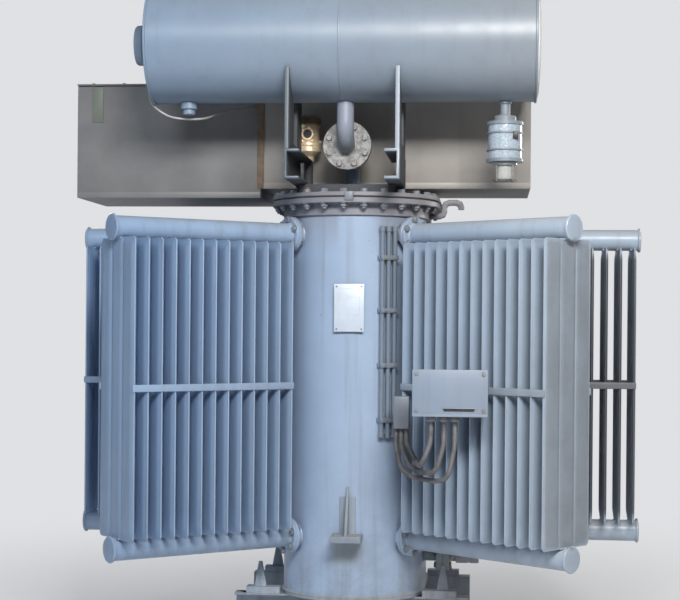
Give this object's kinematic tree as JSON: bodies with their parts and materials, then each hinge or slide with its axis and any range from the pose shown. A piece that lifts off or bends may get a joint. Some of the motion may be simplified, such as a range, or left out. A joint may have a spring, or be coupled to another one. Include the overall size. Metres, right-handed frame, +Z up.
{
  "type": "power transformer",
  "caption": "Oil-filled power transformer with an oval tank, panel radiators around it, a cylindrical conservator on top and a terminal box behind.",
  "frame": {"origin": "on the floor under the middle of the oval tank", "axes": "+Z up, X to the right and Y to the back as seen from the tank's rounded front"},
  "size_m": [2.0685, 1.714, 2.3315],
  "materials": {
    "paint": "semi-gloss light blue-grey paint",
    "sheet": "satin warm grey sheet metal",
    "brass": "dull cast brass",
    "gasket": "matt black cork and rubber gasket",
    "desiccant": "clear tube filled with pale blue silica gel",
    "label": "satin blank plate",
    "conduit": "dark grey ribbed flexible conduit"
  },
  "bodies": {
    "root": {"skid_left": "paint", "skid_right": "paint", "cross_beam_front": "paint", "cross_beam_rear": "paint", "tank_floor": "paint", "tank_body": "paint", "tank_rim": "paint", "cover_gasket": "gasket", "tank_cover": "paint", "jacking_pad_front": "paint", "jacking_pad_rear": "paint", "nameplate_bracket": "paint", "nameplate": "label", "conservator_drum": "paint", "conservator_end_left": "paint", "conservator_end_right": "paint", "oil_level_gauge": "paint", "conservator_drain": "paint", "support_bar_front": "paint", "support_bar_rear": "paint", "support_frame_left": "paint", "support_frame_right": "paint", "conservator_pipe": "paint", "gas_relay": "paint", "relay_outlet_pipe": "paint", "pressure_relief_valve": "brass", "breather_pipe": "paint", "breather_body": "desiccant", "breather_oil_cup": "paint", "terminal_box_throat": "sheet", "terminal_box": "sheet", "terminal_box_lid": "sheet", "cable_box": "sheet", "cable_box_lid": "sheet", "control_box": "paint", "control_box_lid": "paint", "control_box_arm_left": "paint", "control_box_arm_right": "paint", "junction_box": "paint", "conduit_riser": "conduit", "flexible_conduit_1": "conduit", "flexible_conduit_2": "conduit", "flexible_conduit_3": "conduit", "gauge_lead": "conduit", "drain_valve": "paint", "vent_pipe": "paint", "radiator_front_left": "paint", "radiator_front_right": "paint", "radiator_rear_left": "paint", "radiator_rear_right": "paint", "radiator_side_left": "paint", "radiator_side_right": "paint"}
  },
  "joints": []
}
